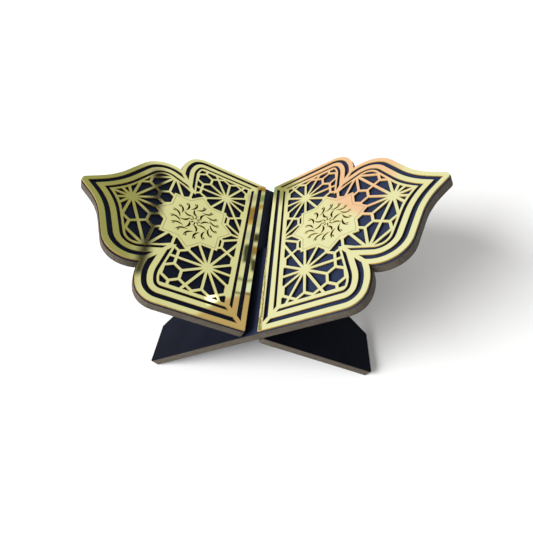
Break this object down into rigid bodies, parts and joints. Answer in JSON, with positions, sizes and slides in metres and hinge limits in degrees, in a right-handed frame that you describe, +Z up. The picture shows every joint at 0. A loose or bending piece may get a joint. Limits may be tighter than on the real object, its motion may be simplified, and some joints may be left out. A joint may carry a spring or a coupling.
{
  "type": "folding book stand",
  "caption": "X-shaped folding book stand of interlocking slotted boards, whose lobed and pointed wings carry mirror-gold lattice overlays with a star medallion.",
  "frame": {"origin": "on the floor, under the middle of the crossing line, which is the middle of the bounding box's base", "axes": "+X towards the right wing's tip, along the longest extent; +Y along the crossing line, towards the side where the right board's slot opens; +Z up"},
  "size_m": [0.3158, 0.2, 0.1483],
  "materials": {
    "laminated_board": "satin dark navy laminate on both faces, raw brown fibreboard edges",
    "gold_mirror_acrylic": "polished pale gold mirror, amber cut edges"
  },
  "bodies": {
    "right_wing": {"right_wing_board": "laminated_board", "right_gold_overlay": "gold_mirror_acrylic"},
    "left_wing": {"left_wing_board": "laminated_board", "left_gold_overlay": "gold_mirror_acrylic"}
  },
  "joints": [
    {"name": "fold", "type": "hinge", "parent": "right_wing", "child": "left_wing", "pos_m": [0, 0, 0.05869], "axis": [0, 1, 0], "range_deg": [0, 50]}
  ]
}
